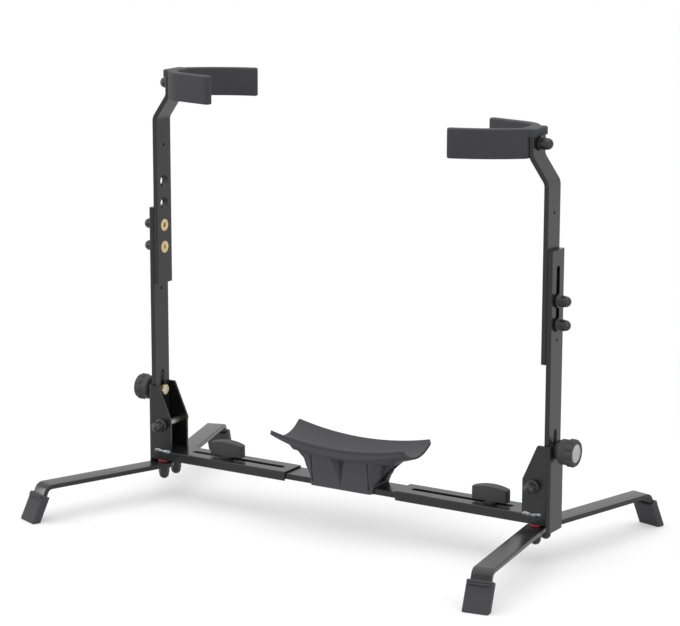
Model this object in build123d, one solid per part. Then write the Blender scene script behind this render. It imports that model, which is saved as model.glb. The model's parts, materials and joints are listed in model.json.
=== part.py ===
from build123d import *
from math import cos, radians, sin, tan
import os

# Folding floor stand for a large brass instrument, in millimetres.
# X runs along the base beam, Y from front to back, Z up. While the pieces are made, X = Y = 0 is
# the middle of the saddle and Z = 0 is the floor. At the end everything is moved so that the
# origin is the middle of the footprint.

# Clearances
FIT = 0.05  # radial play of a pin in its bore
SLIDE_GAP = 0.3  # between faces that slide or turn past each other
HOLE_PLAY = 0.3  # radial play of a bolt in a plain hole or slot

# Base beam: two outer channels that telescope over a flat rail
BEAM_TOP = 62.0
CHANNEL_WIDTH = 40.0
CHANNEL_HEIGHT = 12.0
CHANNEL_WALL = 2.0
CHANNEL_LENGTH = 211.0
CHANNEL_EDGE = 1.4
REACH = {"left": 300.0, "right": 292.0}  # from the saddle's middle to each bracket's outer face
RAIL_HEIGHT = 7.5
RAIL_LENGTH = 420.0
RAIL_SHIFT = 8.0  # the rail's middle from the saddle's middle
RAIL_KNOB_SPREAD = 195.0  # the clamping threads from the rail's middle
RAIL_CHAMFER = 1.0
CHANNEL_SLOT_START = 58.0  # from the bracket's outer face
CHANNEL_SLOT_MARGIN = 13.0  # from the slot's inner end to the channel's end

# Bracket at each end: a bent sheet, a web with two flanges
SHEET = 3.0
BRACKET_WIDTH = 40.0
BRACKET_TOP = 149.0
BRACKET_FOOT = 40.0
BRACKET_DEPTH = 36.0  # the flange's depth at its foot
BRACKET_TOP_DEPTH = 16.5
BRACKET_SHOULDER = 105.0  # where the flange begins to narrow
BEND_RADIUS = 5.0
FLANGE_CORNER = 2.5
CROSS_BOLT_INSET = 21.5
CROSS_BOLT_HEIGHT = 97.0
CROSS_BOLT_RADIUS = 3.0
SPACER_RADIUS = 4.5
SPACER_BORE = 3.3

# Legs: flat bars on vertical pivots below the beam
BOLT_RADIUS = 4.0
PIVOT_INSET = 20.0
PIVOT_SPREAD = 13.5
PIVOT_PLATE_LENGTH = 33.0
PIVOT_PLATE_THICKNESS = 4.0
WASHER_THICKNESS = 3.0
WASHER_RADIUS = 7.5
LEG_WIDTH = 26.0
LEG_THICKNESS = 6.0
LEG_REACH = 184.5  # from the pivot to the outer corner of the bend
LEG_DROP_ANGLE = 65.0
LEG_BEND_RADIUS = 9.0
BAR_EDGE = 1.2
SPLAY = {"left_front": 22.0, "left_back": 17.0, "right_front": 8.0, "right_back": 15.0}

# Rubber feet
FOOT_WALL = 2.6
FOOT_LENGTH = 37.0
FOOT_WIDTH = 33.0
FOOT_EDGE = 2.4
FOOT_RIM_EDGE = 1.2
SOLE_EDGE = 1.5
FOOT_BAR_CLEAR = 3.0  # rubber below the bar's end
FOOT_LIP = 2.0  # how far the lip stands out
FOOT_LIP_HEIGHT = 4.5
FOOT_LIP_INSET = 3.0  # from the cap's sides
FOOT_LIP_DROP = 1.5  # below the cap's rim
FOOT_LIP_GROOVE = 0.8

# Uprights: a lower bar in the bracket and an upper bar bolted on its inner side
BAR_WIDTH = 32.0
BAR_THICKNESS = 6.4
LOWER_BAR_BOTTOM = 90.0
LOWER_BAR_TOP = 386.0
HEIGHT_SLOT_BOTTOM = 104.0
HEIGHT_SLOT_TOP = 167.0
HEIGHT_KNOB_Z = 140.5
ARM_SLOT_TOP_EDGE = 19.0  # from the lower bar's top to the slot's upper end
ARM_TRAVEL = 38.5
ARM_RAISE = {"left": 37.3, "right": 0.3}  # how far each upper bar is set above its lowest place
ARM_HOLE_PITCH = 29.0
ARM_FIRST_HOLE = 47.5  # from the upper bar's foot
ARM_HOLE_COUNT = 4
ARM_LENGTH = 272.0
ARM_HEAD = 24.0  # straight end above the jog
JOG_RISE = 30.0
JOG_SHIFT = 21.0
JOG_BEND_RADIUS = 13.0
SMALL_HOLE_RADIUS = 1.8
UPPER_SMALL_HOLE = 90.0  # below the upper bar's top
LOWER_SMALL_HOLE = 109.0  # below the lower bar's top
SCREW_HEAD_RADIUS = 8.0
SCREW_HEAD_DEPTH = 4.0
SCREW_HEAD_EDGE = 1.2
SOCKET_RADIUS = 2.9  # to the hexagon's corners
SOCKET_DEPTH = 3.2

# Holders at the top of the arms
HOLDER_HEIGHT = 36.0
HOLDER_GRIP = 26.0  # how far the bar's top reaches up behind the holder
HOLDER_BACK = 10.0  # wall between the bar and the tube space
HOLDER_HOOD = 2.4  # how far the hood stands out past the bar
HOLDER_WALL = 11.0
HOLDER_EDGE = 2.2
HOLDER_CORNER = 4.0
HOLDER_BOLT = 17.0  # above the holder's underside
HOLDER_BOLT_SUNK = 0.6  # its head below the wall's face
LONG_ARM = 95.0
LONG_ARM_ANGLE = 30.0
LONG_ARM_BULGE = 6.0
SHORT_ARM = 52.0
SHORT_ARM_ANGLE = 11.0
SHORT_ARM_OFFSET = 42.0  # from the bar's middle to the start of the short arm's outer side
SHORT_ARM_SETBACK = 32.0

# Cap nuts
NUT_FLANGE_RADIUS = 8.7
NUT_FLANGE = 2.4
NUT_BODY_RADIUS = 7.0
NUT_BODY = 10.2
NUT_BORE_DEPTH = 10.0

# Knobs
KNOB_BORE = 14.0
WING_LENGTH = 50.0
WING_THICKNESS = 15.0
WING_TIP = 11.0
WING_CORNER = 4.0
WING_BOSS_RADIUS = 8.0
WING_BOSS = 3.0
WING_HEIGHT = 15.0
WING_CROWN = 4.0
WING_EDGE = 1.2
ROUND_KNOB_RADIUS = 17.0
ROUND_KNOB_HUB_RADIUS = 9.5
ROUND_KNOB_HUB = 5.0
ROUND_KNOB_GRIP = 21.0
ROUND_KNOB_SHOULDER = 2.0
ROUND_KNOB_BARREL = 15.6  # radius of the smooth part behind the lobed ring
ROUND_KNOB_RING = 9.0
ROUND_KNOB_RING_SLOPE = 1.5
ROUND_KNOB_ROUNDING = 3.0
ROUND_KNOB_LOBES = 10
ROUND_KNOB_SCALLOP = 4.5
ROUND_KNOB_SCALLOP_DEPTH = 1.6
KNOB_CAP_RADIUS = 12.0
KNOB_CAP_RECESS = 0.8
HEX_NUT_RADIUS = 7.5
HEX_NUT_HEIGHT = 5.0
HEX_NUT_BEVEL = 1.2

# Saddle
SADDLE_LENGTH = 198.0
SADDLE_WIDTH = 70.0
SADDLE_FLOOR = 94.0  # lowest point of the trough
TUBE_RADIUS = 49.5  # of the trough, across
TROUGH_RADIUS = 433.0  # of the trough, along
SHELL = 8.5
KEEL_RADIUS = 300.0  # of the shell's underside, along
PAD = 3.0
PAD_INSET = 0.6
SADDLE_CEILING = 130.0
SADDLE_CORNER = 2.5
PEDESTAL_BOTTOM = 52.5
PEDESTAL_SECTIONS = [
    # height, half length, half width, corner bevel, groove half width, groove depth
    (58.0, 46.0, 24.0, 4.0, 0.8, 0.6),
    (75.0, 54.5, 25.0, 6.0, 5.5, 5.0),
    (90.0, 70.0, 27.5, 9.0, 10.5, 9.0),
    (106.0, 85.0, 30.5, 11.5, 15.0, 12.0),
]
SADDLE_SCREW_SPREAD = 24.0
SADDLE_SCREW_RADIUS = 3.0
SADDLE_SCREW_HEAD = 5.0
SADDLE_SCREW_HEAD_HEIGHT = 3.2
SADDLE_SCREW_DEPTH = 16.0
SADDLE_SCREW_EDGE = 1.2

# Heights and depths that follow from the ones above
BEAM_UNDERSIDE = BEAM_TOP - CHANNEL_HEIGHT
CHANNEL_CEILING = BEAM_TOP - CHANNEL_WALL
RAIL_TOP = CHANNEL_CEILING - SLIDE_GAP
RAIL_BOTTOM = RAIL_TOP - RAIL_HEIGHT
RAIL_WIDTH = CHANNEL_WIDTH - 2 * (CHANNEL_WALL + SLIDE_GAP)
CHANNEL_SLOT_LENGTH = SHEET + CHANNEL_LENGTH - CHANNEL_SLOT_MARGIN - CHANNEL_SLOT_START
LEG_TOP = BEAM_UNDERSIDE - WASHER_THICKNESS - SLIDE_GAP
LEG_BOTTOM = LEG_TOP - LEG_THICKNESS
LEG_NUT_TOP = LEG_BOTTOM - SLIDE_GAP
SLOT_RADIUS = BOLT_RADIUS + HOLE_PLAY
ARM_SLOT_TOP = LOWER_BAR_TOP - ARM_SLOT_TOP_EDGE
ARM_SLOT_LENGTH = ARM_HOLE_PITCH + ARM_TRAVEL + 2 * SLOT_RADIUS
ARM_LOWEST = ARM_SLOT_TOP - ARM_SLOT_LENGTH + SLOT_RADIUS - ARM_FIRST_HOLE
JOG_END = ARM_LENGTH - ARM_HEAD
HOLDER_BASE = ARM_LENGTH - HOLDER_GRIP  # its underside above the upper bar's foot

SIDES = {"left": -1, "right": 1}


def web_face(side):
    """Inner face of a bracket's web, measured outward from the middle."""
    return REACH[side] - SHEET


def lower_bar_inner(side):
    return web_face(side) - SLIDE_GAP - BAR_THICKNESS


def upper_bar_inner(side):
    return lower_bar_inner(side) - SLIDE_GAP - BAR_THICKNESS


def arm_foot(side):
    return ARM_LOWEST + ARM_RAISE[side]


def arm_bolt_heights(side):
    first = arm_foot(side) + ARM_FIRST_HOLE
    return [first, first + ARM_HOLE_PITCH]


def wing_knob_x(side):
    return RAIL_SHIFT + SIDES[side] * RAIL_KNOB_SPREAD


def block(x, y, z):
    """Box between two values along each axis."""
    size = [abs(b - a) for a, b in (x, y, z)]
    middle = [(a + b) / 2 for a, b in (x, y, z)]
    return Pos(*middle) * Box(*size)


def pin_x(radius, start, end, y=0.0, z=0.0):
    return Pos((start + end) / 2, y, z) * Rot(0, 90, 0) * Cylinder(radius, abs(end - start))


def pin_y(radius, start, end, x=0.0, z=0.0):
    return Pos(x, (start + end) / 2, z) * Rot(90, 0, 0) * Cylinder(radius, abs(end - start))


def pin_z(radius, bottom, top, x=0.0, y=0.0):
    return Pos(x, y, (bottom + top) / 2) * Cylinder(radius, abs(top - bottom))


def on_side(shape, side):
    """A piece made for the right end, turned half a turn about Z for the left end."""
    return shape if side == "right" else Rot(0, 0, 180) * shape


def group(solids):
    return Compound(children=list(solids))


def cap_nut(bore):
    """Flanged cap nut with a domed end, seated at the origin and pointing along +Z."""
    outline = Polyline(
        (0, 0),
        (NUT_FLANGE_RADIUS, 0),
        (NUT_FLANGE_RADIUS, NUT_FLANGE),
        (NUT_BODY_RADIUS, NUT_FLANGE),
        (NUT_BODY_RADIUS, NUT_BODY),
    )
    outline += CenterArc((0, NUT_BODY), NUT_BODY_RADIUS, 0, 90)
    outline += Line((0, NUT_BODY + NUT_BODY_RADIUS), (0, 0))
    nut = revolve(Plane.XZ * make_face(outline), Axis.Z)
    return nut - pin_z(bore, -1, NUT_BORE_DEPTH)


def turned(profile_points, axis=Axis.Z):
    return revolve(Plane.XZ * make_face(Polyline(*profile_points, close=True)), axis)


# Base beam
def centre_rail():
    middle = RAIL_SHIFT
    half = RAIL_LENGTH / 2
    rail = block((middle - half, middle + half), (-RAIL_WIDTH / 2, RAIL_WIDTH / 2), (RAIL_BOTTOM, RAIL_TOP))
    rail = chamfer(rail.edges().filter_by(Axis.Y), RAIL_CHAMFER)
    for side in SIDES:
        rail -= pin_z(BOLT_RADIUS + FIT, RAIL_BOTTOM - 1, RAIL_TOP + 1, wing_knob_x(side))
    for sign in (-1, 1):
        x = sign * SADDLE_SCREW_SPREAD
        rail -= pin_z(SADDLE_SCREW_RADIUS + HOLE_PLAY, RAIL_BOTTOM - 1, RAIL_TOP + 1, x)
    return rail


def channel():
    """Inverted U that slides over the rail; measured from the right bracket's outer face at X = 0."""
    outer = Rectangle(CHANNEL_WIDTH, CHANNEL_HEIGHT)
    outer = fillet(outer.vertices().group_by(Axis.Y)[-1], CHANNEL_EDGE)
    inner = Pos(0, -CHANNEL_WALL) * Rectangle(CHANNEL_WIDTH - 2 * CHANNEL_WALL, CHANNEL_HEIGHT)
    section = Plane.YZ * (outer - inner)
    bar = extrude(section, CHANNEL_LENGTH)
    bar = Pos(-SHEET - CHANNEL_LENGTH, 0, BEAM_TOP - CHANNEL_HEIGHT / 2) * bar
    slot_middle = -CHANNEL_SLOT_START - CHANNEL_SLOT_LENGTH / 2
    slot = SlotOverall(CHANNEL_SLOT_LENGTH, 2 * SLOT_RADIUS)
    bar -= Pos(slot_middle, 0, CHANNEL_CEILING - 1) * extrude(slot, CHANNEL_WALL + 2)
    return bar


def bracket():
    """Bent sheet with a web and two narrowing flanges, its web's outer face at X = 0."""
    half = BRACKET_WIDTH / 2
    outer = Pos(-BRACKET_DEPTH / 2, 0) * Rectangle(BRACKET_DEPTH, BRACKET_WIDTH)
    outer = fillet(outer.vertices().group_by(Axis.X)[-1], BEND_RADIUS)
    inner = Pos(-BRACKET_DEPTH / 2 - SHEET, 0) * Rectangle(BRACKET_DEPTH, BRACKET_WIDTH - 2 * SHEET)
    inner = fillet(inner.vertices().group_by(Axis.X)[-1], BEND_RADIUS - SHEET)
    sheet = Pos(0, 0, BRACKET_FOOT) * extrude(outer - inner, BRACKET_TOP - BRACKET_FOOT)
    side_view = Polyline(
        (0, BRACKET_FOOT),
        (0, BRACKET_TOP),
        (-BRACKET_TOP_DEPTH, BRACKET_TOP),
        (-BRACKET_DEPTH, BRACKET_SHOULDER),
        (-BRACKET_DEPTH, BEAM_TOP),
        (-SHEET, BEAM_TOP),
        (-SHEET, BRACKET_FOOT),
        close=True,
    )
    outline = make_face(side_view)
    rounded = outline.vertices().filter_by(lambda v: v.X < -SHEET - 1 and v.Y > BEAM_TOP + 1)
    outline = fillet(rounded, FLANGE_CORNER)
    sheet &= extrude(Plane.XZ * outline, half + 1, both=True)
    sheet -= pin_x(BOLT_RADIUS + FIT, -SHEET - 1, 1, z=HEIGHT_KNOB_Z)
    hole = CROSS_BOLT_RADIUS + FIT
    sheet -= pin_y(hole, -half - 1, half + 1, x=-CROSS_BOLT_INSET, z=CROSS_BOLT_HEIGHT)
    return sheet


def spacer_tube():
    inside = BRACKET_WIDTH / 2 - SHEET
    tube = pin_y(SPACER_RADIUS, -inside, inside, x=-CROSS_BOLT_INSET, z=CROSS_BOLT_HEIGHT)
    return tube - pin_y(SPACER_BORE, -inside - 1, inside + 1, x=-CROSS_BOLT_INSET, z=CROSS_BOLT_HEIGHT)


def cross_bolt():
    reach = BRACKET_WIDTH / 2 + NUT_BORE_DEPTH - SLIDE_GAP
    return pin_y(CROSS_BOLT_RADIUS, -reach, reach, x=-CROSS_BOLT_INSET, z=CROSS_BOLT_HEIGHT)


def cross_nuts():
    nut = cap_nut(CROSS_BOLT_RADIUS + FIT)
    half = BRACKET_WIDTH / 2
    front = Pos(-CROSS_BOLT_INSET, -half, CROSS_BOLT_HEIGHT) * Rot(90, 0, 0) * nut
    back = Pos(-CROSS_BOLT_INSET, half, CROSS_BOLT_HEIGHT) * Rot(-90, 0, 0) * nut
    return group([front, back])


def pivot_places():
    return [(-PIVOT_INSET, -PIVOT_SPREAD), (-PIVOT_INSET, PIVOT_SPREAD)]


def pivot_plate():
    """Plate welded into the channel's end that carries the two leg pivots."""
    half = CHANNEL_WIDTH / 2 - CHANNEL_WALL
    bottom = BEAM_UNDERSIDE
    top = bottom + PIVOT_PLATE_THICKNESS
    plate = block((-SHEET - PIVOT_PLATE_LENGTH, -SHEET), (-half, half), (bottom, top))
    for x, y in pivot_places():
        plate -= pin_z(BOLT_RADIUS + FIT, bottom - 1, top + 1, x, y)
    return plate


def pivot_studs():
    top = BEAM_UNDERSIDE + PIVOT_PLATE_THICKNESS
    bottom = LEG_NUT_TOP - NUT_BORE_DEPTH + SLIDE_GAP
    return group(pin_z(BOLT_RADIUS, bottom, top, x, y) for x, y in pivot_places())


def leg_washers():
    top = BEAM_UNDERSIDE
    bottom = top - WASHER_THICKNESS
    washers = []
    for x, y in pivot_places():
        washer = pin_z(WASHER_RADIUS, bottom, top, x, y)
        washers.append(washer - pin_z(BOLT_RADIUS + FIT, bottom - 1, top + 1, x, y))
    return group(washers)


def leg_nuts():
    nut = Rot(180, 0, 0) * cap_nut(BOLT_RADIUS + FIT)
    return group(Pos(x, y, LEG_NUT_TOP) * nut for x, y in pivot_places())


# Legs and feet, made along +X with the pivot at X = 0
def bar_section():
    return RectangleRounded(LEG_WIDTH, LEG_THICKNESS, BAR_EDGE)


def leg_path(end_height):
    """Centre line of the leg, from its pivot out to the bend and down to a height."""
    drop = radians(LEG_DROP_ANGLE)
    middle = LEG_TOP - LEG_THICKNESS / 2
    corner = LEG_REACH - LEG_THICKNESS / 2 * tan(drop / 2)
    fall = middle - end_height
    return [(0, 0, middle), (corner, 0, middle), (corner + fall / tan(drop), 0, end_height)]


def leg():
    points = leg_path(FOOT_BAR_CLEAR + LEG_THICKNESS)
    path = FilletPolyline(*points, radius=LEG_BEND_RADIUS)
    start = Plane(origin=points[0], x_dir=(0, 1, 0), z_dir=(1, 0, 0))
    bar = sweep(start * bar_section(), path)
    head = pin_z(LEG_WIDTH / 2, LEG_BOTTOM, LEG_TOP)
    head = fillet(head.edges().filter_by(GeomType.CIRCLE), BAR_EDGE)
    bar += head
    return bar - pin_z(BOLT_RADIUS + FIT, LEG_BOTTOM - 1, LEG_TOP + 1)


def foot():
    """Rubber cap on the leg's end, cut level where it stands on the floor."""
    drop = radians(LEG_DROP_ANGLE)
    along = Vector(cos(drop), 0, -sin(drop))
    end = Vector(*leg_path(0)[2])
    thickness = LEG_THICKNESS + 2 * FOOT_WALL
    frame = Plane(origin=end, x_dir=(0, 1, 0), z_dir=-along)
    section = RectangleRounded(FOOT_WIDTH, thickness, FOOT_EDGE)
    body = Pos(0, 0, -thickness) * extrude(section, FOOT_LENGTH + thickness)
    body = fillet(body.faces().sort_by(Axis.Z)[-1].edges(), FOOT_RIM_EDGE)
    lip_top = FOOT_LENGTH - FOOT_LIP_DROP
    lip_section = Rectangle(FOOT_WIDTH - 2 * FOOT_LIP_INSET, thickness)
    lip = Pos(0, -FOOT_LIP, lip_top - FOOT_LIP_HEIGHT) * extrude(lip_section, FOOT_LIP_HEIGHT)
    groove = Rot(0, 90, 0) * Cylinder(FOOT_LIP_GROOVE, FOOT_WIDTH)
    lip -= Pos(0, -FOOT_LIP - thickness / 2, lip_top - FOOT_LIP_HEIGHT / 2) * groove
    body = frame * (body + lip)
    pocket = frame * extrude(bar_section(), FOOT_LENGTH + LEG_THICKNESS)
    bar_end = FOOT_BAR_CLEAR + LEG_THICKNESS / 2 - SLIDE_GAP
    near = end.X - LEG_REACH
    far = end.X + LEG_REACH
    pocket -= block((near, far), (-LEG_REACH, LEG_REACH), (-LEG_REACH, bar_end))
    body -= pocket
    body &= block((near, far), (-LEG_REACH, LEG_REACH), (0, LEG_TOP))
    sole = body.faces().sort_by(Axis.Z)[0]
    return fillet(sole.edges(), SOLE_EDGE)


def swing(shape, side, end):
    """Put a leg or foot at its pivot, turned to its splay."""
    sign = SIDES[side]
    front = -1 if end == "front" else 1
    splay = SPLAY[side + "_" + end]
    heading = front * (90 - splay) if sign > 0 else front * (90 + splay)
    x = sign * (REACH[side] - PIVOT_INSET)
    return Pos(x, front * PIVOT_SPREAD, 0) * Rot(0, 0, heading) * shape


# Uprights
def lower_bar(side):
    """Straight bar with a slot for the height knob and one for the upper bar's bolts."""
    inner = lower_bar_inner(side)
    height = LOWER_BAR_TOP - LOWER_BAR_BOTTOM
    section = RectangleRounded(BAR_THICKNESS, BAR_WIDTH, BAR_EDGE)
    bar = Pos(inner + BAR_THICKNESS / 2, 0, LOWER_BAR_BOTTOM) * extrude(section, height)
    arm_slot = (ARM_SLOT_TOP - ARM_SLOT_LENGTH, ARM_SLOT_TOP)
    for bottom, top in ((HEIGHT_SLOT_BOTTOM, HEIGHT_SLOT_TOP), arm_slot):
        slot = extrude(Rot(0, 0, 90) * SlotOverall(top - bottom, 2 * SLOT_RADIUS), BAR_THICKNESS + 2)
        bar -= Pos(inner - 1, 0, (bottom + top) / 2) * (Plane.YZ * slot)
    bar -= pin_x(SMALL_HOLE_RADIUS, inner - 1, inner + BAR_THICKNESS + 1, z=LOWER_BAR_TOP - LOWER_SMALL_HOLE)
    return bar


def upper_bar(side):
    """Bar with a jog toward the instrument at its top and a row of holes at its foot."""
    inner = upper_bar_inner(side)
    foot_z = arm_foot(side)
    middle = inner + BAR_THICKNESS / 2
    path = FilletPolyline(
        (middle, 0, foot_z),
        (middle, 0, foot_z + JOG_END - JOG_RISE),
        (middle - JOG_SHIFT, 0, foot_z + JOG_END),
        (middle - JOG_SHIFT, 0, foot_z + ARM_LENGTH),
        radius=JOG_BEND_RADIUS,
    )
    start = Plane(origin=(middle, 0, foot_z), x_dir=(1, 0, 0), z_dir=(0, 0, 1))
    bar = sweep(start * RectangleRounded(BAR_THICKNESS, BAR_WIDTH, BAR_EDGE), path)
    outer = inner + BAR_THICKNESS
    for i in range(ARM_HOLE_COUNT):
        z = foot_z + ARM_FIRST_HOLE + i * ARM_HOLE_PITCH
        bar -= pin_x(SLOT_RADIUS, inner - 1, outer + 1, z=z)
        bar -= Pos(inner, 0, z) * Rot(0, 90, 0) * countersink()
    bar -= pin_x(SMALL_HOLE_RADIUS, inner - 1, outer + 1, z=foot_z + ARM_LENGTH - UPPER_SMALL_HOLE)
    bolt_z = holder_bolt_height(side)
    return bar - pin_x(SLOT_RADIUS, inner - JOG_SHIFT - 1, outer - JOG_SHIFT + 1, z=bolt_z)


def countersink(gap=0.05):
    """Cone of a sunk screw head, opening toward -Z at Z = 0."""
    head = SCREW_HEAD_RADIUS + gap
    shank = BOLT_RADIUS + gap
    return turned([(0, -1), (head, -1), (head, 0), (shank, SCREW_HEAD_DEPTH), (0, SCREW_HEAD_DEPTH)])


def arm_screws(side):
    """Two countersunk screws from the inner face, with hexagon sockets."""
    inner = upper_bar_inner(side)
    reach = web_face(side) + NUT_BORE_DEPTH - SLIDE_GAP - inner
    screw = turned([
        (0, 0),
        (SCREW_HEAD_RADIUS, 0),
        (BOLT_RADIUS, SCREW_HEAD_DEPTH),
        (BOLT_RADIUS, reach),
        (0, reach),
    ])
    screw -= extrude(RegularPolygon(SOCKET_RADIUS, 6), SOCKET_DEPTH)
    return group(Pos(inner, 0, z) * Rot(0, 90, 0) * screw for z in arm_bolt_heights(side))


def arm_nuts(side):
    seat = web_face(side)
    nut = Rot(0, 90, 0) * cap_nut(BOLT_RADIUS + FIT)
    return group(Pos(seat, 0, z) * nut for z in arm_bolt_heights(side))


# Holders
def holder_bolt_height(side):
    return arm_foot(side) + HOLDER_BASE + HOLDER_BOLT


def holder_outline():
    """Plan of the right holder below its hood: X = 0 at the bar's inner face, long arm in front."""
    long_way = Vector(-cos(radians(LONG_ARM_ANGLE)), -sin(radians(LONG_ARM_ANGLE)))
    long_side = Vector(long_way.Y, -long_way.X)
    short_way = Vector(-cos(radians(SHORT_ARM_ANGLE)), sin(radians(SHORT_ARM_ANGLE)))
    short_side = Vector(-short_way.Y, short_way.X)
    half = BAR_WIDTH / 2 + HOLDER_HOOD
    back = -HOLDER_BACK
    root = Vector(0, -half)
    tip = root + long_way * LONG_ARM
    tip_inner = tip + long_side * HOLDER_WALL
    root_inner = Vector(back, HOLDER_CORNER - half)
    knee = Vector(-SHORT_ARM_SETBACK, SHORT_ARM_OFFSET)
    knee_inner = knee + short_side * HOLDER_WALL
    short_tip = knee + short_way * SHORT_ARM
    short_inner = short_tip + short_side * HOLDER_WALL
    bulge = long_side * -LONG_ARM_BULGE
    outline = Curve() + [
        ThreePointArc(tip, (root + tip) * 0.5 + bulge, root),
        Line(root, (0, half - HOLDER_CORNER)),
        TangentArc(knee, (0, half - HOLDER_CORNER), tangent=short_way * -1),
        Line(knee, short_tip),
        Line(short_tip, short_inner),
        Line(short_inner, knee_inner),
        TangentArc(knee_inner, (back, HOLDER_CORNER), tangent=short_way * -1),
        Line((back, HOLDER_CORNER), root_inner),
        ThreePointArc(root_inner, (root_inner + tip_inner) * 0.5 + bulge, tip_inner),
        Line(tip_inner, tip),
    ]
    face = make_face(outline)
    smooth = (knee, knee_inner)
    sharp = [v for v in face.vertices() if min((Vector(v) - spot).length for spot in smooth) > 0.1]
    return fillet(sharp, HOLDER_CORNER)


def holder_hood():
    """Roof of the holder that covers the top of the bar."""
    start = HOLDER_EDGE - HOLDER_BACK + 1
    end = BAR_THICKNESS + HOLDER_HOOD
    half = BAR_WIDTH / 2 + HOLDER_HOOD
    hood = block((start, end), (-half, half), (HOLDER_GRIP + SLIDE_GAP, HOLDER_HEIGHT))
    hood = fillet(hood.edges().filter_by(Axis.Z).group_by(Axis.X)[-1], HOLDER_CORNER)
    rim = hood.faces().sort_by(Axis.Z)[-1].edges().filter_by(lambda e: e.center().X > start + 1)
    return fillet(rim, HOLDER_EDGE)


def holder(side):
    """Padded C that holds the tube, with its back against the top of the bar."""
    inner = upper_bar_inner(side) - JOG_SHIFT
    body = extrude(holder_outline(), HOLDER_HEIGHT)
    flat = body.faces().sort_by(Axis.Z)
    body = fillet(flat[0].edges() + flat[-1].edges(), HOLDER_EDGE)
    body += holder_hood()
    body -= pin_x(BOLT_RADIUS + FIT, -HOLDER_BACK - 1, 1, z=HOLDER_BOLT)
    recess = SCREW_HEAD_RADIUS + HOLE_PLAY
    body -= pin_x(recess, -HOLDER_BACK - 1, -HOLDER_BACK + SCREW_HEAD_DEPTH, z=HOLDER_BOLT)
    return Pos(inner, 0, arm_foot(side) + HOLDER_BASE) * body


def holder_bolt(side):
    """Screw and cap nut that fix the holder to the bar, one solid each."""
    face = upper_bar_inner(side) - JOG_SHIFT
    z = holder_bolt_height(side)
    seat = face - HOLDER_BACK + SCREW_HEAD_DEPTH
    start = face - HOLDER_BACK + HOLDER_BOLT_SUNK
    head = pin_x(SCREW_HEAD_RADIUS, start, seat, z=z)
    head = fillet(head.edges().sort_by(Axis.X)[0], SCREW_HEAD_EDGE)
    nut_seat = face + BAR_THICKNESS
    screw = head + pin_x(BOLT_RADIUS, start + SOCKET_DEPTH, nut_seat + NUT_BORE_DEPTH - SLIDE_GAP, z=z)
    screw -= Pos(start - 1, 0, z) * Rot(0, 90, 0) * extrude(RegularPolygon(SOCKET_RADIUS, 6), SOCKET_DEPTH)
    nut = Pos(nut_seat, 0, z) * Rot(0, 90, 0) * cap_nut(BOLT_RADIUS + FIT)
    return group([screw, nut])


# Knobs
def wing_knob():
    """Long wing grip with blunt rounded ends and an arched top; X = 0 on its axis."""
    half = WING_LENGTH / 2
    tip = WING_TIP / 2
    seat = BEAM_TOP + SLIDE_GAP
    bottom = seat + WING_BOSS
    front = ThreePointArc((-half, -tip), (0, -WING_THICKNESS / 2), (half, -tip))
    back = ThreePointArc((half, tip), (0, WING_THICKNESS / 2), (-half, tip))
    lens = make_face(front + Line((half, -tip), (half, tip)) + back + Line((-half, tip), (-half, -tip)))
    body = Pos(0, 0, bottom) * extrude(lens, WING_HEIGHT + WING_CROWN + 1)
    shoulder = bottom + WING_HEIGHT
    crown = ThreePointArc((-half - 1, shoulder), (0, shoulder + WING_CROWN), (half + 1, shoulder))
    below = bottom - 1
    frame = Polyline((half + 1, shoulder), (half + 1, below), (-half - 1, below), (-half - 1, shoulder))
    body &= extrude(Plane.XZ * make_face(crown + frame), WING_THICKNESS, both=True)
    body = fillet(body.edges().filter_by(Axis.Z), WING_CORNER)
    top = body.faces().sort_by(Axis.Z)[-1]
    body = fillet(top.edges(), WING_EDGE)
    body += pin_z(WING_BOSS_RADIUS, seat, bottom + 1)
    return body - pin_z(BOLT_RADIUS + FIT, seat - 1, seat + KNOB_BORE)


def wing_knob_stud():
    top = BEAM_TOP + KNOB_BORE
    return pin_z(BOLT_RADIUS, RAIL_BOTTOM + 0.5, top)


def height_knob():
    """Round knob with a lobed ring at its outer end, its axis along X; X = 0 at the bracket's outer face."""
    base = SLIDE_GAP
    grip = base + ROUND_KNOB_HUB
    end = grip + ROUND_KNOB_GRIP
    ring_start = end - ROUND_KNOB_RING
    rounding = ROUND_KNOB_ROUNDING
    profile = Polyline(
        (0, end),
        (0, base),
        (ROUND_KNOB_HUB_RADIUS, base),
        (ROUND_KNOB_HUB_RADIUS, grip),
        (ROUND_KNOB_BARREL - ROUND_KNOB_SHOULDER, grip),
        (ROUND_KNOB_BARREL, grip + ROUND_KNOB_SHOULDER),
        (ROUND_KNOB_BARREL, ring_start - ROUND_KNOB_RING_SLOPE),
        (ROUND_KNOB_RADIUS, ring_start),
        (ROUND_KNOB_RADIUS, end - rounding),
    )
    profile += CenterArc((ROUND_KNOB_RADIUS - rounding, end - rounding), rounding, 0, 90)
    profile += Line((ROUND_KNOB_RADIUS - rounding, end), (0, end))
    knob = revolve(Plane.XZ * make_face(profile), Axis.Z)
    distance = ROUND_KNOB_RADIUS + ROUND_KNOB_SCALLOP - ROUND_KNOB_SCALLOP_DEPTH
    scallop = pin_z(ROUND_KNOB_SCALLOP, ring_start - ROUND_KNOB_RING_SLOPE, end + 1)
    for spot in PolarLocations(distance, ROUND_KNOB_LOBES):
        knob -= spot * scallop
    knob -= pin_z(KNOB_CAP_RADIUS, end - KNOB_CAP_RECESS, end + 1)
    knob -= pin_z(BOLT_RADIUS + FIT, base - 1, base + KNOB_BORE)
    return Pos(0, 0, HEIGHT_KNOB_Z) * Rot(0, 90, 0) * knob


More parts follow.
